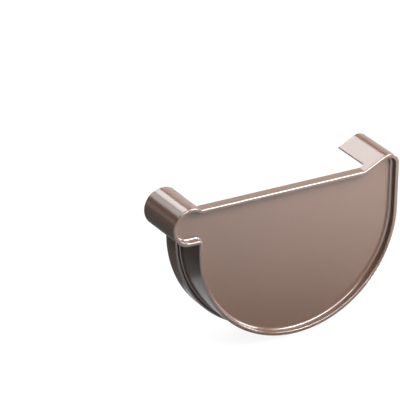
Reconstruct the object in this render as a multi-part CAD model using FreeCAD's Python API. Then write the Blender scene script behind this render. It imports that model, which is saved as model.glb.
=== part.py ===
import FreeCAD, Part
import os
from math import atan2, cos, degrees, radians, sin, sqrt

# End cap of a half-round gutter with a rolled front bead, and its rubber seal.
# +Y runs along the gutter, out of the cap's mouth. +X is the wall side, with the hook,
# -X the front side, with the bead. The origin lies on the gutter's axis, on the inner
# face of the end wall, where the gutter's end stops. All lengths are in millimetres.

# The gutter that the cap closes
gutter_radius = 62.5
bead_radius = 8.6
bead_reach = 7.9
bead_z = 16.7

# Clearances
gutter_clearance = 0.3
bead_clearance = 0.65
seal_clearance = 0.1

# Mouldings of the cap
wall = 2.2
end_wall = 2.0
rim_height = 4.2
rim_width = 2.3
sleeve_depth = 26.8

# Roll that holds the gutter's bead: a tube open at its inner side, with a lip below
roll_opening_angle = 57.0
lower_lip_height = 3.1
top_below_roll = 2.0

# Hook that snaps over the gutter's back edge, with a flap that thickens into a barb
hook_radius = 7.2
hook_above_top = 7.25
flap_slope = 27.0
flap_length = 11.2
barb_reach = 8.6
barb_height = 3.1

# Raised band round the mouth, with the seal's groove inside
mouth_rim = 2.0
groove_width = 7.8
groove_depth = 2.6
shoulder_wall = 1.4
ledge_top_z = 13.4
ledge_drop = 2.8

# Seal
crown_height = 3.3
crown_lean = 0.9
rib_count = 3
rib_radius = 1.05
crown_overrun = 0.8
crown_below_lip = 3.2

# Rounded edges
top_blend = 1.0
lobe_blend = 0.8
notch_round = 0.6
rim_outer_round = 0.8
rim_inner_round = 0.7
pocket_round = 1.3
stop_round = 1.3
mouth_round = 0.45
band_round = 0.8
shoulder_round = 1.2
shoulder_root = 0.7
ledge_round = 0.35
lip_round = 0.6
tip_round = 0.6

# Sizes that follow
inner_radius = gutter_radius + gutter_clearance
outer_radius = inner_radius + wall
groove_radius = inner_radius + groove_depth
band_radius = groove_radius + wall
roll_inner = bead_radius + bead_clearance
roll_outer = roll_inner + wall
bead_x = -(gutter_radius + bead_reach)
top_height = bead_z + roll_outer - top_below_roll
floor_z = bead_z - roll_inner
roll_base_z = bead_z - roll_outer
lower_lip_z = floor_z + lower_lip_height
face_y = -(end_wall + rim_height)
groove_far_y = sleeve_depth - mouth_rim
groove_near_y = groove_far_y - groove_width
shoulder_y = groove_near_y - shoulder_wall
groove_end_hook_z = ledge_top_z - ledge_drop - wall
groove_end_bead_z = roll_base_z - wall
crown_end_hook_z = groove_end_hook_z + crown_overrun
crown_end_bead_z = lower_lip_z - crown_below_lip
hook_x = outer_radius - hook_radius
hook_centre_z = top_height + hook_above_top - hook_radius
flap_normal = 90.0 + flap_slope
bead = (bead_x, bead_z)
hook = (hook_x, hook_centre_z)
notch = (-outer_radius - notch_round, roll_base_z - notch_round)


def polar(centre, radius, angle):
    return (centre[0] + radius * cos(radians(angle)), centre[1] + radius * sin(radians(angle)))


def upright(y):
    """Place an outline across the gutter, at the distance y along it."""
    return lambda point: FreeCAD.Vector(point[0], y, point[1])


def lengthwise(point):
    """Place a section of the wall: first its distance from the axis, then its y."""
    return FreeCAD.Vector(point[0], point[1], 0)


def outline(arcs, place):
    """Close a face from arcs (centre, radius, start, end), with straight lines between them."""
    edges = []
    for index, (centre, radius, start, end) in enumerate(arcs):
        finish = place(polar(centre, radius, end))
        if radius > 0:
            middle = place(polar(centre, radius, (start + end) / 2))
            edges.append(Part.Arc(place(polar(centre, radius, start)), middle, finish).toShape())
        after = arcs[(index + 1) % len(arcs)]
        follow = place(polar(after[0], after[1], after[2]))
        if finish.distanceToPoint(follow) > 1e-6:
            edges.append(Part.LineSegment(finish, follow).toShape())
    return Part.Face(Part.Wire(edges))


def corner(u, v):
    return ((u, v), 0, 0, 0)


def along_wall(section, hook_height, bead_height):
    """Carry a section of the wall round the half circle and straight up on both sides."""
    origin = FreeCAD.Vector(0, 0, 0)
    axis = FreeCAD.Vector(0, 1, 0)
    half = section.revolve(origin, axis, 180)
    on_hook = section.extrude(FreeCAD.Vector(0, 0, hook_height))
    far_section = section.copy()
    far_section.rotate(origin, axis, 180)
    on_bead = far_section.extrude(FreeCAD.Vector(0, 0, bead_height))
    return half.fuse([on_hook, on_bead]).removeSplitter()


def cap_outline(inset, y):
    """Outline of the end wall, moved inwards: tight blends where the top meets hook and roll."""
    hook_arc = hook_radius - inset
    roll_arc = roll_outer - inset
    blend_z = top_height - inset + top_blend
    slope = radians(flap_slope)
    rise = cos(slope) * (blend_z - hook_centre_z) - hook_arc - top_blend
    blend_centre = (hook_x + rise / sin(slope), blend_z)
    kink_z = top_height - inset + lobe_blend
    kink_reach = sqrt((roll_arc + lobe_blend) ** 2 - (kink_z - bead_z) ** 2)
    kink_centre = (bead_x + kink_reach, kink_z)
    kink_angle = degrees(atan2(kink_z - bead_z, kink_reach))
    arcs = [
        ((0, 0), outer_radius - inset, 180, 360),
        (hook, hook_arc, 0, flap_normal),
        (blend_centre, top_blend, 270 + flap_slope, 270),
        (kink_centre, lobe_blend, 270, 180 + kink_angle),
        (bead, roll_arc, kink_angle, 270),
        (notch, notch_round + inset, 90, 0),
    ]
    return outline(arcs, upright(y))


def flap_point(reach, depth):
    """Point at a reach along the flap from the hook's arc and a depth below its top face."""
    on_top = polar(polar(hook, hook_radius, flap_normal), reach, 180 + flap_slope)
    return polar(on_top, depth, 180 + flap_normal)


def sleeve_outline(y):
    """Section of the sleeve, one wall thick: roll, lower lip, half circle, hook and barbed flap."""
    outer_end = polar(bead, roll_outer - tip_round, roll_opening_angle)
    inner_end = polar(bead, roll_inner + tip_round, roll_opening_angle)
    end_normal = roll_opening_angle - 90
    tip = flap_point(flap_length - tip_round, tip_round)
    barb = flap_point(barb_reach, barb_height - tip_round)
    tip_normal = degrees(atan2(tip[1] - barb[1], tip[0] - barb[0])) + 90
    lip_z = lower_lip_z - lip_round
    arcs = [
        (outer_end, tip_round, end_normal, roll_opening_angle),
        (bead, roll_outer, roll_opening_angle, 270),
        (notch, notch_round, 90, 0),
        ((0, 0), outer_radius, 180, 360),
        (hook, hook_radius, 0, flap_normal),
        (tip, tip_round, flap_normal, tip_normal),
        (barb, tip_round, tip_normal, flap_normal + 180),
        (hook, hook_radius - wall, flap_normal, 0),
        ((0, 0), inner_radius, 360, 180),
        ((-inner_radius - lip_round, lip_z), lip_round, 0, 90),
        ((-outer_radius + lip_round, lip_z), lip_round, 90, 180),
        ((-outer_radius - lip_round, floor_z + lip_round), lip_round, 360, 270),
        (bead, roll_inner, 270, roll_opening_angle),
        (inner_end, tip_round, 180 + roll_opening_angle, 360 + end_normal),
    ]
    return outline(arcs, upright(y))


def band_section():
    """Raised band: a rounded shoulder, the wide wall over the groove and the mouth's edge."""
    root = outer_radius - wall / 2
    arcs = [
        corner(root, shoulder_y - shoulder_root),
        ((outer_radius + shoulder_root, shoulder_y - shoulder_root), shoulder_root, 180, 90),
        ((band_radius - shoulder_round, shoulder_y + shoulder_round), shoulder_round, 270, 360),
        ((band_radius - band_round, sleeve_depth - band_round), band_round, 0, 90),
        corner(root, sleeve_depth),
    ]
    return outline(arcs, lengthwise)


def box_section(near, far, low, high):
    corners = [corner(near, low), corner(far, low), corner(far, high), corner(near, high)]
    return outline(corners, lengthwise)


def raised_band():
    """The band ends under the roll on one side and in a sloping ledge on the hook side."""
    band = along_wall(band_section(), ledge_top_z, roll_base_z + wall / 2)
    over = band_radius + wall
    fall = ledge_drop / (band_radius - outer_radius)
    wedge = outline([
        corner(outer_radius - wall, ledge_top_z + wall * fall),
        corner(over, ledge_top_z - (over - outer_radius) * fall),
        corner(over, ledge_top_z + over - outer_radius),
    ], upright(0))
    band = band.cut(wedge.extrude(FreeCAD.Vector(0, sleeve_depth + wall, 0)))
    low_z = ledge_top_z - ledge_drop
    ledge = [edge for edge in band.Edges if abs(edge.BoundBox.ZMin - low_z) < 1e-4]
    return band.makeFillet(ledge_round, ledge)


def edges_at(shape, y):
    """Edges that lie in the plane across the gutter at y."""
    boxes = [(edge, edge.BoundBox) for edge in shape.Edges]
    return [edge for edge, box in boxes if max(abs(box.YMin - y), abs(box.YMax - y)) < 1e-4]


def stop_fillet():
    """Fillet in the corner of the sleeve and the end wall."""
    arcs = [
        corner(inner_radius + wall / 2, -end_wall / 2),
        corner(inner_radius + wall / 2, stop_round),
        ((inner_radius - stop_round, stop_round), stop_round, 0, -90),
        corner(inner_radius - stop_round, -end_wall / 2),
    ]
    return along_wall(outline(arcs, lengthwise), hook_centre_z, lower_lip_z - lip_round)


def end_wall_block():
    """End wall with its standing rim: a dished panel inside a rounded edge."""
    block = cap_outline(0, face_y).extrude(FreeCAD.Vector(0, -face_y, 0))
    block = block.makeFillet(rim_outer_round, edges_at(block, face_y))
    pocket = cap_outline(rim_width, face_y).extrude(FreeCAD.Vector(0, rim_height, 0))
    pocket = pocket.makeFillet(pocket_round, edges_at(pocket, -end_wall))
    block = block.cut(pocket)
    border = cap_outline(rim_width, face_y).OuterWire
    inner = [edge for edge in edges_at(block, face_y) if edge.distToShape(border)[0] < 1e-4]
    return block.makeFillet(rim_inner_round, inner)


def sleeve():
    shape = sleeve_outline(0).extrude(FreeCAD.Vector(0, sleeve_depth, 0))
    return shape.makeFillet(mouth_round, edges_at(shape, sleeve_depth))


def cap_body():
    groove = box_section(inner_radius - wall, groove_radius, groove_near_y, groove_far_y)
    body = end_wall_block().fuse([sleeve(), stop_fillet(), raised_band()]).removeSplitter()
    return body.cut(along_wall(groove, groove_end_hook_z, groove_end_bead_z))


def crown_section():
    """Seal's crown: a leaning smooth face towards the mouth and round ribs on the gutter."""
    back = inner_radius - seal_clearance
    near = groove_near_y + seal_clearance
    far = groove_far_y - seal_clearance
    rib_line = inner_radius - crown_height + rib_radius
    rib_span = far - crown_lean - near
    arcs = [corner(back, near), corner(back, far)]
    for index in range(rib_count):
        rib_y = far - crown_lean - rib_span * (index + 0.5) / rib_count
        arcs.append(((rib_line, rib_y), rib_radius, 90, 270))
    arcs.append(corner(rib_line, near))
    return outline(arcs, lengthwise)


def rubber_seal():
    """Base in the groove, with the ribbed crown running on along both straight walls."""
    near = groove_near_y + seal_clearance
    far = groove_far_y - seal_clearance
    base = box_section(inner_radius - wall / 2, groove_radius - seal_clearance, near, far)
    foot = along_wall(base, groove_end_hook_z - seal_clearance, groove_end_bead_z - seal_clearance)
    crown = along_wall(crown_section(), crown_end_hook_z, crown_end_bead_z)
    return foot.fuse(crown).removeSplitter()


def main():
    os.makedirs("parts", exist_ok=True)
    for name, make in (("cap_body", cap_body), ("rubber_seal", rubber_seal)):
        shape = make()
        if shape.ShapeType == "Compound" and len(shape.Solids) == 1:
            shape = shape.Solids[0]
        shape.exportStep("parts/" + name + ".step")
        print(name, "valid", shape.isValid(), "solids", len(shape.Solids), "volume", round(shape.Volume))


main()
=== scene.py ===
import bpy
import math
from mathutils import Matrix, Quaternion, Vector


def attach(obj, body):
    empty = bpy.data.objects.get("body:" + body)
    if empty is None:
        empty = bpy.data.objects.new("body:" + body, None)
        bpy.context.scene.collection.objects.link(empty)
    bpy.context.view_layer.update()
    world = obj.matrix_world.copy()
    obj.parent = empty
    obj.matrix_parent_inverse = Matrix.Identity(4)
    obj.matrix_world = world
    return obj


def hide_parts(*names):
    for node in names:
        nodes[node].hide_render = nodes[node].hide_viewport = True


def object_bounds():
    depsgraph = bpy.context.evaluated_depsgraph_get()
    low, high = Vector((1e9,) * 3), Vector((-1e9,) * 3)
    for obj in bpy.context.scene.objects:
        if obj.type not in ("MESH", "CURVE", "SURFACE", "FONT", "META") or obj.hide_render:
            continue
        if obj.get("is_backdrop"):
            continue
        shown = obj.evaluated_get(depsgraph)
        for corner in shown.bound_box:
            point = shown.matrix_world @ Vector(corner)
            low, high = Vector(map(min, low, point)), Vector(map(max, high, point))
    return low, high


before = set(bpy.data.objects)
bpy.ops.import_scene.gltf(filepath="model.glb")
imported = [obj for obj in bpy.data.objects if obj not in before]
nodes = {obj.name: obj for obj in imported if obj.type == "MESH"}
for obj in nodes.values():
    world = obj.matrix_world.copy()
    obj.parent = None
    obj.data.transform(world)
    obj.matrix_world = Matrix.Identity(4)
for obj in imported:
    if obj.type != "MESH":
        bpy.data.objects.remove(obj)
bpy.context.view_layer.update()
scene = bpy.context.scene
print("frame loaded:", sorted(nodes))


# small helpers for building node trees
def addNode(tree, kind, inputs=None, **settings):
    node = tree.nodes.new(kind)
    for name, value in settings.items():
        setattr(node, name, value)
    for socket, value in (inputs or {}).items():
        if isinstance(value, bpy.types.NodeSocket):
            tree.links.new(value, node.inputs[socket])
        else:
            node.inputs[socket].default_value = value
    return node


def calc(tree, operation, *values):
    node = addNode(tree, "ShaderNodeMath", dict(enumerate(values)), operation=operation)
    return node.outputs[0]


def newTree(name, inputs, outputs, kind="GeometryNodeTree"):
    tree = bpy.data.node_groups.new(name, kind)
    for label, socketType, value in inputs:
        socket = tree.interface.new_socket(label, in_out="INPUT", socket_type=socketType)
        if value is not None:
            socket.default_value = value
    for label, socketType in outputs:
        tree.interface.new_socket(label, in_out="OUTPUT", socket_type=socketType)
    return tree, tree.nodes.new("NodeGroupInput").outputs, tree.nodes.new("NodeGroupOutput").inputs


def runTree(name, tree, values):
    # runs a tree once on an empty object and keeps the result as a plain mesh
    holder = bpy.data.objects.new(name + "Holder", bpy.data.meshes.new(name + "Holder"))
    scene.collection.objects.link(holder)
    modifier = holder.modifiers.new(name, "NODES")
    modifier.node_group = tree
    for item in tree.interface.items_tree:
        if item.in_out == "INPUT" and item.name in values:
            modifier[item.identifier] = values[item.name]
    ready = holder.evaluated_get(bpy.context.evaluated_depsgraph_get())
    mesh = bpy.data.meshes.new_from_object(ready)
    mesh.name = name
    mesh.polygons.foreach_set("material_index", [0] * len(mesh.polygons))
    mesh.materials.clear()
    mesh.materials.append(values["Material"])
    holder.modifiers.clear()
    bpy.data.objects.remove(holder)
    piece = bpy.data.objects.new(name, mesh)
    scene.collection.objects.link(piece)
    return piece


# surface effects that both materials use, each with its own values
speckSet = {
    "largest": 0.3,        # radius of the largest speck, as a share of its cell
    "core": 0.5,           # share of that radius that is fully coloured
    "emptyCells": 0.6,     # share of the cells that have no speck
}


def softToneGroup(s):
    # gentle change of colour over the surface, with faint small specks of a given colour; on the plastic's
    # land these are painted glints
    tree, given, out = newTree("softTone", [
        ("Vector", "NodeSocketVector", None), ("Color", "NodeSocketColor", (0.5, 0.5, 0.5, 1)),
        ("Patch Scale", "NodeSocketFloat", 40.0), ("Patch Amount", "NodeSocketFloat", 0.1),
        ("Speck Scale", "NodeSocketFloat", 900.0), ("Speck Amount", "NodeSocketFloat", 0.1),
        ("Speck Color", "NodeSocketColor", (0.8, 0.8, 0.8, 1)),
    ], [("Color", "NodeSocketColor"), ("Speck Mask", "NodeSocketFloat")], "ShaderNodeTree")
    patch = addNode(tree, "ShaderNodeTexNoise", {
        "Vector": given["Vector"], "Scale": given["Patch Scale"], "Detail": 3.0})
    swing = calc(tree, "MULTIPLY", calc(tree, "SUBTRACT", patch.outputs[0], 0.5), given["Patch Amount"])
    toned = addNode(tree, "ShaderNodeHueSaturation", {
        "Color": given["Color"], "Value": calc(tree, "ADD", calc(tree, "MULTIPLY", swing, 2.0), 1.0)})
    speck = addNode(tree, "ShaderNodeTexVoronoi", {
        "Vector": given["Vector"], "Scale": given["Speck Scale"]})
    chance = addNode(tree, "ShaderNodeSeparateColor", {0: speck.outputs["Color"]}).outputs[0]
    size = calc(tree, "MULTIPLY", chance, s["largest"])
    dot = addNode(tree, "ShaderNodeMapRange", {
        "Value": speck.outputs["Distance"], "From Min": size,
        "From Max": calc(tree, "MULTIPLY", size, s["core"])})
    few = calc(tree, "MULTIPLY", dot.outputs[0], calc(tree, "GREATER_THAN", chance, s["emptyCells"]))
    mask = calc(tree, "MULTIPLY", few, given["Speck Amount"])
    mix = addNode(tree, "ShaderNodeMix", {0: mask}, data_type="RGBA")
    tree.links.new(toned.outputs[0], mix.inputs[6])
    tree.links.new(given["Speck Color"], mix.inputs[7])
    tree.links.new(mix.outputs[2], out["Color"])
    tree.links.new(few, out["Speck Mask"])
    return tree


unevenScale = 2.3     # scale of the uneven gloss, against the waves


def mouldSkinGroup():
    # skin of a moulding: long soft waves, a fine grain, and a gloss that isn't quite even
    tree, given, out = newTree("mouldSkin", [
        ("Vector", "NodeSocketVector", None),
        ("Wave Scale", "NodeSocketFloat", 60.0), ("Wave Depth", "NodeSocketFloat", 0.5),
        ("Grain Scale", "NodeSocketFloat", 1500.0), ("Grain Depth", "NodeSocketFloat", 0.05),
        ("Gloss", "NodeSocketFloat", 0.2), ("Gloss Spread", "NodeSocketFloat", 0.05),
    ], [("Height", "NodeSocketFloat"), ("Roughness", "NodeSocketFloat")], "ShaderNodeTree")
    wave = addNode(tree, "ShaderNodeTexNoise", {
        "Vector": given["Vector"], "Scale": given["Wave Scale"], "Detail": 1.0})
    grain = addNode(tree, "ShaderNodeTexNoise", {
        "Vector": given["Vector"], "Scale": given["Grain Scale"], "Detail": 2.0})
    height = calc(tree, "ADD", calc(tree, "MULTIPLY", wave.outputs[0], given["Wave Depth"]),
                  calc(tree, "MULTIPLY", grain.outputs[0], given["Grain Depth"]))
    uneven = addNode(tree, "ShaderNodeTexNoise", {
        "Vector": given["Vector"], "Scale": calc(tree, "MULTIPLY", given["Wave Scale"], unevenScale),
        "Detail": 4.0})
    shift = calc(tree, "MULTIPLY", calc(tree, "SUBTRACT", uneven.outputs[0], 0.5), given["Gloss Spread"])
    tree.links.new(height, out["Height"])
    tree.links.new(calc(tree, "ADD", shift, given["Gloss"]), out["Roughness"])
    return tree


softTone, mouldSkin = softToneGroup(speckSet), mouldSkinGroup()


bumpDistance = 0.001     # in metres, for both materials


def newMaterial(name, **sockets):
    material = bpy.data.materials.new(name)
    material.use_nodes = True
    tree = material.node_tree
    shader = tree.nodes["Principled BSDF"]
    for socket, value in sockets.items():
        shader.inputs[socket.replace("_", " ")].default_value = value
    place = addNode(tree, "ShaderNodeTexCoord").outputs["Object"]
    return material, tree, shader, place


def placeGroup(tree, group, vector, values):
    node = addNode(tree, "ShaderNodeGroup", node_tree=group)
    tree.links.new(vector, node.inputs["Vector"])
    for label, value in values.items():
        if isinstance(value, bpy.types.NodeSocket):
            tree.links.new(value, node.inputs[label])
        else:
            node.inputs[label].default_value = value
    return node.outputs


# brown plastic of the moulding
plasticSet = {
    "brown": (0.205, 0.124, 0.093, 1.0),
    "specular": 0.5,
    "edgeGloss": 1.0,
    "edgeRoughness": 0.12,
    "edgeIor": 1.95,
    "tone": {"Patch Scale": 22.0, "Patch Amount": 0.05, "Speck Scale": 700.0},
    "skin": {"Wave Scale": 90.0, "Wave Depth": 0.25, "Grain Scale": 1400.0, "Grain Depth": 0.03,
             "Gloss": 0.2, "Gloss Spread": 0.06},
    "bump": 0.12,
    "landBrown": (0.15, 0.07, 0.045, 1.0),     # rougher land where the gutter slides, behind the seal
    "landFrom": 0.0016,
    "landTo": 0.0168,
    "landRadius": (0.0616, 0.0632),
    "landRough": 0.12,         # added to the roughness there
    "landGrain": 900.0,
    "landGrainDepth": 0.25,
    # pale specks on the land are painted glints: the sparkle of its rough surface is painted into the
    # colour
    "paintedGlintColor": (0.85, 0.55, 0.4, 1.0),
    "paintedGlintAmount": 0.8,
}


def between(tree, value, low, high):
    above, below = calc(tree, "GREATER_THAN", value, low), calc(tree, "LESS_THAN", value, high)
    return calc(tree, "MULTIPLY", above, below)


def length(tree, first, second):
    return calc(tree, "SQRT", calc(tree, "ADD", calc(tree, "MULTIPLY", first, first),
                                   calc(tree, "MULTIPLY", second, second)))


def brownPlastic(s):
    material, tree, shader, place = newMaterial(
        "brownPlastic", Specular_IOR_Level=s["specular"],
        Coat_Roughness=s["edgeRoughness"], Coat_IOR=s["edgeIor"])
    # rounded edges round the rim and the mouth come out of the mould glossier than the flat faces:
    # the mask is 0 where a face looks along the gutter or across it, and 1 half way between
    normal = addNode(tree, "ShaderNodeTexCoord").outputs["Normal"]
    facing = addNode(tree, "ShaderNodeSeparateXYZ", {0: normal}).outputs["Y"]
    flat = calc(tree, "MULTIPLY", facing, facing)
    rounded = calc(tree, "MULTIPLY", calc(tree, "MULTIPLY", flat, calc(tree, "SUBTRACT", 1.0, flat)), 4.0)
    tree.links.new(calc(tree, "MULTIPLY", rounded, s["edgeGloss"]), shader.inputs["Coat Weight"])
    split = addNode(tree, "ShaderNodeSeparateXYZ", {0: place}).outputs
    low = calc(tree, "MINIMUM", split["Z"], 0.0)
    land = calc(tree, "MULTIPLY", between(tree, split["Y"], s["landFrom"], s["landTo"]),
                between(tree, length(tree, split["X"], low), *s["landRadius"]))
    colour = addNode(tree, "ShaderNodeMix", {0: land}, data_type="RGBA")
    colour.inputs[6].default_value = s["brown"]
    colour.inputs[7].default_value = s["landBrown"]
    # the land's specks are coloured as painted glints, as well as raised in the bump
    tone = placeGroup(tree, softTone, place, {
        **s["tone"], "Color": colour.outputs[2], "Speck Color": s["paintedGlintColor"],
        "Speck Amount": calc(tree, "MULTIPLY", land, s["paintedGlintAmount"])})
    skin = placeGroup(tree, mouldSkin, place, s["skin"])
    tree.links.new(tone["Color"], shader.inputs["Base Color"])
    rough = calc(tree, "ADD", skin["Roughness"], calc(tree, "MULTIPLY", land, s["landRough"]))
    tree.links.new(rough, shader.inputs["Roughness"])
    grain = addNode(tree, "ShaderNodeTexNoise", {"Vector": place, "Scale": s["landGrain"], "Detail": 2.0})
    rise = calc(tree, "MULTIPLY", grain.outputs[0], s["landGrainDepth"])
    raised = calc(tree, "MULTIPLY", land, calc(tree, "ADD", rise, tone["Speck Mask"]))
    bump = addNode(tree, "ShaderNodeBump", {
        "Strength": s["bump"], "Distance": bumpDistance,
        "Height": calc(tree, "ADD", skin["Height"], raised)})
    tree.links.new(bump.outputs[0], shader.inputs["Normal"])
    return material


# dark rubber of the seal
rubberSet = {
    "grey": (0.04, 0.049, 0.055, 1.0),
    "tone": {"Patch Scale": 120.0, "Patch Amount": 0.2, "Speck Scale": 1500.0, "Speck Amount": 0.25,
             "Speck Color": (0.2, 0.22, 0.23, 1.0)},
    "skin": {"Wave Scale": 160.0, "Wave Depth": 0.5, "Grain Scale": 2500.0, "Grain Depth": 0.12,
             "Gloss": 0.42, "Gloss Spread": 0.12},
    "specular": 0.5,
    "bump": 0.2,
}


def sealRubber(s):
    material, tree, shader, place = newMaterial("sealRubber", Specular_IOR_Level=s["specular"])
    tone = placeGroup(tree, softTone, place, {**s["tone"], "Color": s["grey"]})
    skin = placeGroup(tree, mouldSkin, place, s["skin"])
    tree.links.new(tone["Color"], shader.inputs["Base Color"])
    tree.links.new(skin["Roughness"], shader.inputs["Roughness"])
    bump = addNode(tree, "ShaderNodeBump", {
        "Strength": s["bump"], "Distance": bumpDistance, "Height": skin["Height"]})
    tree.links.new(bump.outputs[0], shader.inputs["Normal"])
    return material


# rubber seal: sizes as in the CAD model, in metres
sealSet = {
    "Wall Radius": 0.0627,      # face of the sleeve, less the seal's clearance
    "Groove Radius": 0.0653,
    "Near": 0.0171,             # along the gutter
    "Far": 0.0247,
    "Lean": 0.0009,             # how far the face towards the mouth leans back
    "Rib Line": 0.06055,
    "Rib Radius": 0.00105,
    "Ribs": 3,
    "Rib Steps": 14,
    "Hook End": 0.0092,         # height at which the crown ends, wall side
    "Bead End": 0.00735,
    "Foot Hook End": 0.0083,    # height at which the foot in the groove ends
    "Foot Bead End": 0.00295,
    "Path Steps": 260,
    "Wave": 0.00012,            # slight unevenness of the soft ribs
    "Wave Scale": 60.0,
}
sharpAngle = math.radians(40)     # edges of the seal that turn more than this stay sharp
wavedFrom = 0.5                   # share of a rib's height below which nothing is shifted


def wallPathTree():
    # line down one straight wall, round the half circle and up the other one
    tree, given, out = newTree("wallPath", [
        ("Radius", "NodeSocketFloat", 0.06), ("Hook End", "NodeSocketFloat", 0.01),
        ("Bead End", "NodeSocketFloat", 0.01), ("Steps", "NodeSocketInt", 200),
    ], [("Curve", "NodeSocketGeometry")])
    arcLength = calc(tree, "MULTIPLY", given["Radius"], math.pi)
    total = calc(tree, "ADD", calc(tree, "ADD", arcLength, given["Hook End"]), given["Bead End"])
    end = addNode(tree, "ShaderNodeCombineXYZ", {"X": total})
    line = addNode(tree, "GeometryNodeCurvePrimitiveLine", {"End": end.outputs[0]})
    fine = addNode(tree, "GeometryNodeResampleCurve", {"Curve": line.outputs[0], "Count": given["Steps"]})
    place = addNode(tree, "GeometryNodeInputPosition")
    run = addNode(tree, "ShaderNodeSeparateXYZ", {0: place.outputs[0]}).outputs["X"]
    past = calc(tree, "SUBTRACT", run, given["Hook End"])
    arc = calc(tree, "MINIMUM", calc(tree, "MAXIMUM", past, 0.0), arcLength)
    angle = calc(tree, "DIVIDE", arc, given["Radius"])
    across = calc(tree, "MULTIPLY", calc(tree, "COSINE", angle), given["Radius"])
    drop = calc(tree, "MULTIPLY", calc(tree, "SINE", angle), given["Radius"])
    above = calc(tree, "ABSOLUTE", calc(tree, "SUBTRACT", past, arc))
    height = calc(tree, "SUBTRACT", above, drop)
    spot = addNode(tree, "ShaderNodeCombineXYZ", {"X": across, "Z": height})
    moved = addNode(tree, "GeometryNodeSetPosition", {
        "Geometry": fine.outputs[0], "Position": spot.outputs[0]})
    tree.links.new(moved.outputs[0], out["Curve"])
    return tree


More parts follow.
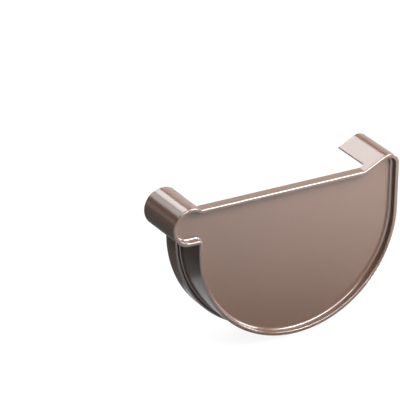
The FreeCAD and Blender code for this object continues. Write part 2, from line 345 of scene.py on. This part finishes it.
def sealTree():
    tree, given, out = newTree("sealSweep", [
        ("Wall Radius", "NodeSocketFloat", 0.06), ("Groove Radius", "NodeSocketFloat", 0.063),
        ("Near", "NodeSocketFloat", 0.0), ("Far", "NodeSocketFloat", 0.01),
        ("Lean", "NodeSocketFloat", 0.0),
        ("Rib Line", "NodeSocketFloat", 0.058), ("Rib Radius", "NodeSocketFloat", 0.001),
        ("Ribs", "NodeSocketInt", 3), ("Rib Steps", "NodeSocketInt", 12),
        ("Hook End", "NodeSocketFloat", 0.01), ("Bead End", "NodeSocketFloat", 0.01),
        ("Foot Hook End", "NodeSocketFloat", 0.01), ("Foot Bead End", "NodeSocketFloat", 0.01),
        ("Path Steps", "NodeSocketInt", 200), ("Wave", "NodeSocketFloat", 0.0),
        ("Wave Scale", "NodeSocketFloat", 50.0), ("Material", "NodeSocketMaterial", None),
    ], [("Geometry", "NodeSocketGeometry")])
    path = wallPathTree()

    def sweep(profile, hookEnd, beadEnd):
        way = addNode(tree, "GeometryNodeGroup", node_tree=path)
        for label, source in (("Radius", given["Wall Radius"]), ("Hook End", hookEnd),
                              ("Bead End", beadEnd), ("Steps", given["Path Steps"])):
            tree.links.new(source, way.inputs[label])
        return addNode(tree, "GeometryNodeCurveToMesh", {
            "Curve": way.outputs["Curve"], "Profile Curve": profile, "Fill Caps": True}).outputs[0]

    def corner(radius, along):
        inward = calc(tree, "SUBTRACT", given["Wall Radius"], radius)
        return addNode(tree, "ShaderNodeCombineXYZ", {
            "X": calc(tree, "MULTIPLY", inward, -1.0), "Y": calc(tree, "MULTIPLY", along, -1.0)}).outputs[0]

    # ribbed crown: half circles side by side, then the two corners at the wall
    ribPoints = calc(tree, "MULTIPLY", given["Ribs"], given["Rib Steps"])
    count = calc(tree, "ADD", ribPoints, 3.0)
    line = addNode(tree, "GeometryNodeCurvePrimitiveLine")
    points = addNode(tree, "GeometryNodeResampleCurve", {"Curve": line.outputs[0], "Count": count})
    index = addNode(tree, "GeometryNodeInputIndex").outputs[0]
    rib = calc(tree, "FLOOR", calc(tree, "DIVIDE", index, given["Rib Steps"]))
    step = calc(tree, "SUBTRACT", index, calc(tree, "MULTIPLY", rib, given["Rib Steps"]))
    lastStep = calc(tree, "SUBTRACT", given["Rib Steps"], 1.0)
    angle = calc(tree, "MULTIPLY", calc(tree, "DIVIDE", step, lastStep), math.pi)
    start = calc(tree, "SUBTRACT", given["Far"], given["Lean"])
    pitch = calc(tree, "DIVIDE", calc(tree, "SUBTRACT", start, given["Near"]), given["Ribs"])
    middle = calc(tree, "SUBTRACT", start, calc(tree, "MULTIPLY", calc(tree, "ADD", rib, 0.5), pitch))
    sideways = calc(tree, "MULTIPLY", calc(tree, "COSINE", angle), given["Rib Radius"])
    along = calc(tree, "ADD", middle, sideways)
    depth = calc(tree, "MULTIPLY", calc(tree, "SINE", angle), given["Rib Radius"])
    ribSpot = corner(calc(tree, "SUBTRACT", given["Rib Line"], depth), along)
    pastRibs = calc(tree, "SUBTRACT", index, ribPoints)
    number = calc(tree, "MAXIMUM", calc(tree, "ADD", pastRibs, 1.0), 0.0)
    pick = addNode(tree, "GeometryNodeIndexSwitch", {"Index": number}, data_type="VECTOR")
    for extra in range(2):
        pick.index_switch_items.new()
    spots = (ribSpot, corner(given["Rib Line"], given["Near"]),
             corner(given["Wall Radius"], given["Near"]), corner(given["Wall Radius"], given["Far"]))
    for slotNumber, spot in enumerate(spots):
        tree.links.new(spot, pick.inputs[slotNumber + 1])
    shaped = addNode(tree, "GeometryNodeSetPosition", {
        "Geometry": points.outputs[0], "Position": pick.outputs[0]})
    closed = addNode(tree, "GeometryNodeSetSplineCyclic", {"Geometry": shaped.outputs[0], "Cyclic": True})
    crownLine = addNode(tree, "GeometryNodeReverseCurve", {0: closed.outputs[0]})
    crown = sweep(crownLine.outputs[0], given["Hook End"], given["Bead End"])

    # foot that fills the groove
    foot = addNode(tree, "GeometryNodeCurvePrimitiveQuadrilateral", mode="POINTS")
    for label, radius, place in (("Point 1", "Wall Radius", "Near"), ("Point 2", "Wall Radius", "Far"),
                                 ("Point 3", "Groove Radius", "Far"), ("Point 4", "Groove Radius", "Near")):
        tree.links.new(corner(given[radius], given[place]), foot.inputs[label])
    base = sweep(foot.outputs[0], given["Foot Hook End"], given["Foot Bead End"])

    # the soft ribs aren't quite even along their length
    place = addNode(tree, "GeometryNodeInputPosition").outputs[0]
    split = addNode(tree, "ShaderNodeSeparateXYZ", {0: place}).outputs
    noise = addNode(tree, "ShaderNodeTexNoise", {
        "Vector": place, "Scale": given["Wave Scale"], "Detail": 1.0})
    lean = calc(tree, "MULTIPLY", calc(tree, "SUBTRACT", noise.outputs[0], 0.5), given["Wave"])
    fixedHeight = calc(tree, "MULTIPLY", given["Rib Radius"], wavedFrom)
    ribTop = calc(tree, "SUBTRACT", given["Rib Line"], fixedHeight)
    onRib = calc(tree, "LESS_THAN", length(tree, split["X"], split["Z"]), ribTop)
    shift = addNode(tree, "ShaderNodeCombineXYZ", {"Y": calc(tree, "MULTIPLY", lean, onRib)})
    crownWaved = addNode(tree, "GeometryNodeSetPosition", {"Geometry": crown, "Offset": shift.outputs[0]})

    both = addNode(tree, "GeometryNodeJoinGeometry")
    tree.links.new(base, both.inputs[0])
    tree.links.new(crownWaved.outputs[0], both.inputs[0])
    bend = addNode(tree, "GeometryNodeInputMeshEdgeAngle").outputs[0]
    sharp = calc(tree, "GREATER_THAN", bend, sharpAngle)
    smooth = addNode(tree, "GeometryNodeSetShadeSmooth", {
        "Geometry": both.outputs[0], "Shade Smooth": True})
    marked = addNode(tree, "GeometryNodeStoreNamedAttribute", {
        "Geometry": smooth.outputs[0], "Name": "sharp_edge", "Value": sharp},
        data_type="BOOLEAN", domain="EDGE")
    real = addNode(tree, "GeometryNodeRealizeInstances", {0: marked.outputs[0]})
    finish = addNode(tree, "GeometryNodeSetMaterial", {
        "Geometry": real.outputs[0], "Material": given["Material"]})
    tree.links.new(finish.outputs[0], out["Geometry"])
    return tree


plastic = brownPlastic(plasticSet)
nodes["cap_body"].data.materials[0] = plastic
print("plastic of the moulding is ready")

rubber = sealRubber(rubberSet)
seal = runTree("ribbedSeal", sealTree(), {**sealSet, "Material": rubber})
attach(seal, "root")
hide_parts("rubber_seal")
print("seal made:", len(seal.data.polygons), "faces")


# studio: a plain floor and a pale backdrop, both seen as white
studioSet = {
    "floorSize": 12.0,
    "floorGap": 0.0001,        # below the cap, in metres
    "floorColor": 0.1,
    "shadowDepth": 0.12,       # share of the seen floor that takes light and shadow
    "seenWhite": 0.92,
    "backdropTop": 0.16,       # height of the white backdrop, as the sine of its elevation
    "backdropFade": 0.10,
    "ambient": 0.05,
}


def sightRays(tree):
    # one for rays that show the background: to the camera, in gloss and through glass
    path = addNode(tree, "ShaderNodeLightPath").outputs
    direct = calc(tree, "MAXIMUM", path["Is Camera Ray"], path["Is Glossy Ray"])
    return calc(tree, "MAXIMUM", direct, path["Is Transmission Ray"])


def makeFloor(s):
    material = bpy.data.materials.new("paleFloor")
    material.use_nodes = True
    tree = material.node_tree
    tree.nodes.clear()
    seen = sightRays(tree)
    change = calc(tree, "MULTIPLY", seen, s["shadowDepth"] - s["floorColor"])
    grey = calc(tree, "ADD", change, s["floorColor"])
    colour = addNode(tree, "ShaderNodeCombineColor", {0: grey, 1: grey, 2: grey})
    matt = addNode(tree, "ShaderNodeBsdfDiffuse", {"Color": colour.outputs[0]})
    glow = addNode(tree, "ShaderNodeEmission", {"Strength": calc(tree, "MULTIPLY", seen, s["seenWhite"])})
    both = addNode(tree, "ShaderNodeAddShader", {0: matt.outputs[0], 1: glow.outputs[0]})
    addNode(tree, "ShaderNodeOutputMaterial", {"Surface": both.outputs[0]})
    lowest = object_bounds()[0][2]
    bpy.ops.mesh.primitive_plane_add(size=s["floorSize"])
    floor = bpy.context.object
    floor.name = "floor"
    for corner in floor.data.vertices:
        corner.co.z = lowest - s["floorGap"]
    floor.data.materials.append(material)
    floor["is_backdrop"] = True
    return floor


def makeBackdrop(s):
    world = bpy.data.worlds.new("backdrop")
    scene.world = world
    world.use_nodes = True
    tree = world.node_tree
    tree.nodes.clear()
    way = addNode(tree, "ShaderNodeTexCoord").outputs["Generated"]
    height = addNode(tree, "ShaderNodeSeparateXYZ", {0: way}).outputs["Z"]
    wall = addNode(tree, "ShaderNodeMapRange", {
        "Value": height, "From Min": s["backdropTop"], "From Max": s["backdropTop"] + s["backdropFade"],
        "To Min": 1.0, "To Max": s["ambient"]}, interpolation_type="SMOOTHSTEP")
    white = addNode(tree, "ShaderNodeBackground", {"Strength": wall.outputs[0]})
    dim = addNode(tree, "ShaderNodeBackground", {"Strength": s["ambient"]})
    pick = addNode(tree, "ShaderNodeMixShader", {
        0: sightRays(tree), 1: dim.outputs[0], 2: white.outputs[0]})
    addNode(tree, "ShaderNodeOutputWorld", {"Surface": pick.outputs[0]})


# soft boxes: azimuth from +Y towards +X and elevation in degrees, distance and sides in metres,
# glow, and the part of a surface that each one lights: its matt colour, its gloss or both
lightSet = {
    "keyRight": (145, 41, 0.45, (0.30, 0.30), 12.4, "matt"),
    "frontKey": (152, 46, 0.24, (0.12, 0.12), 9.2, "gloss"),     # the key's shape in the gloss
    "frontStrip": (174, 50, 0.20, (0.24, 0.07), 8.2, "gloss"),
    "backBox": (0, 42, 0.9, (0.30, 0.24), 9.0, "both"),
    "backLeft": (335, 34, 0.9, (0.26, 0.26), 4.5, "both"),
    "backLow": (32, 22, 0.9, (0.34, 0.34), 1.0, "both"),
    "backFill": (12, 12, 0.9, (0.40, 0.30), 13.0, "both"),
    "highLeft": (290, 55, 0.9, (0.34, 0.34), 6.6, "both"),
    "glossRight": (98, 18, 0.9, (0.60, 0.26), 10.0, "gloss"),     # light lines along the rounded edges
    "glossEdge": (122, 50, 0.9, (0.50, 0.34), 11.0, "gloss"),
    "glossTop": (75, 60, 0.9, (0.34, 0.30), 7.0, "gloss"),
    "glossFront": (190, 40, 0.9, (0.50, 0.24), 5.5, "gloss"),
}
lightAim = (0.0, 0.0, -0.015)


def makeLight(name, azimuth, elevation, distance, sides, glow, lights):
    data = bpy.data.lights.new(name, "AREA")
    data.shape = "RECTANGLE"
    data.size, data.size_y = sides
    data.energy = glow * math.pi * data.size * data.size_y
    light = bpy.data.objects.new(name, data)
    scene.collection.objects.link(light)
    turn, tilt = math.radians(azimuth), math.radians(elevation)
    way = Vector((math.sin(turn) * math.cos(tilt), math.cos(turn) * math.cos(tilt), math.sin(tilt)))
    light.location = Vector(lightAim) + way * distance
    light.rotation_mode = "QUATERNION"
    light.rotation_quaternion = (-way).to_track_quat("-Z", "Y")
    light.visible_diffuse = lights != "gloss"
    light.visible_glossy = lights != "matt"
    return light


# cards that only show in the gloss, each from its low to its high corner: a dark one upright
# behind on the left, a dim one on the floor before it, and one on the floor in front, which
# the panel shows and which grows brighter away from the cap
cardSet = {
    "darkCard": {"low": (-0.26, 0.062, -0.0675), "high": (-0.03, 0.062, 0.02),
                 "grey": 0.03, "glow": (0.2, 0.2)},
    "dimCard": {"low": (-0.26, -0.02, -0.0673), "high": (-0.03, 0.062, -0.0673),
                "grey": 0.0, "glow": (0.7, 0.7)},
    "brightCard": {"low": (-0.05, -0.30, -0.0672), "high": (0.30, -0.01, -0.0672),
                   "grey": 0.0, "glow": (0.2, 2.8)},
}
glowAlong = (0.52, -1.0, 0.0)     # the way in which a card's glow changes
glowReach = 0.2                   # and over what distance, from the middle of the cap


def makeCard(name, s):
    (left, near, bottom), (right, far, top) = s["low"], s["high"]
    corners = [(left, near, bottom), (right, near, bottom), (right, far, top), (left, far, top)]
    mesh = bpy.data.meshes.new(name)
    mesh.from_pydata(corners, [], [(0, 1, 2, 3)])
    material = bpy.data.materials.new(name)
    material.use_nodes = True
    tree = material.node_tree
    tree.nodes.clear()
    place = addNode(tree, "ShaderNodeTexCoord").outputs["Object"]
    along = addNode(tree, "ShaderNodeVectorMath", {0: place, 1: glowAlong}, operation="DOT_PRODUCT")
    glow = addNode(tree, "ShaderNodeMapRange", {
        "Value": along.outputs["Value"], "From Min": 0.0, "From Max": glowReach,
        "To Min": s["glow"][0], "To Max": s["glow"][1]})
    matt = addNode(tree, "ShaderNodeBsdfDiffuse", {"Color": (s["grey"], s["grey"], s["grey"], 1.0)})
    shine = addNode(tree, "ShaderNodeEmission", {"Strength": glow.outputs[0]})
    both = addNode(tree, "ShaderNodeAddShader", {0: matt.outputs[0], 1: shine.outputs[0]})
    addNode(tree, "ShaderNodeOutputMaterial", {"Surface": both.outputs[0]})
    mesh.materials.append(material)
    card = bpy.data.objects.new(name, mesh)
    scene.collection.objects.link(card)
    card.visible_camera = card.visible_diffuse = card.visible_shadow = False
    card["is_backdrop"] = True
    return card


# camera: where the photograph was taken from
cameraSet = {
    "place": (-1.01016, -1.57342, 0.89328),
    "azimuth": -31.077,
    "elevation": 25.187,
    "roll": 1.197,
    "focalLength": 333.76,
    "clip": (0.05, 30.0),
}


def makeCamera(s):
    data = bpy.data.cameras.new("camera")
    data.lens = s["focalLength"]
    data.clip_start, data.clip_end = s["clip"]
    camera = bpy.data.objects.new("camera", data)
    scene.collection.objects.link(camera)
    turn, tilt = math.radians(s["azimuth"]), math.radians(s["elevation"])
    back = Vector((math.sin(turn) * math.cos(tilt), -math.cos(turn) * math.cos(tilt), math.sin(tilt)))
    roll = Quaternion((0, 0, 1), math.radians(s["roll"]))
    camera.rotation_mode = "QUATERNION"
    camera.rotation_quaternion = (-back).to_track_quat("-Z", "Y") @ roll
    camera.location = s["place"]
    scene.camera = camera
    return camera


makeFloor(studioSet)
makeBackdrop(studioSet)
for name, row in lightSet.items():
    makeLight(name, *row)
for name, s in cardSet.items():
    makeCard(name, s)
makeCamera(cameraSet)
scene.view_settings.view_transform = "Standard"
print("studio is set up")
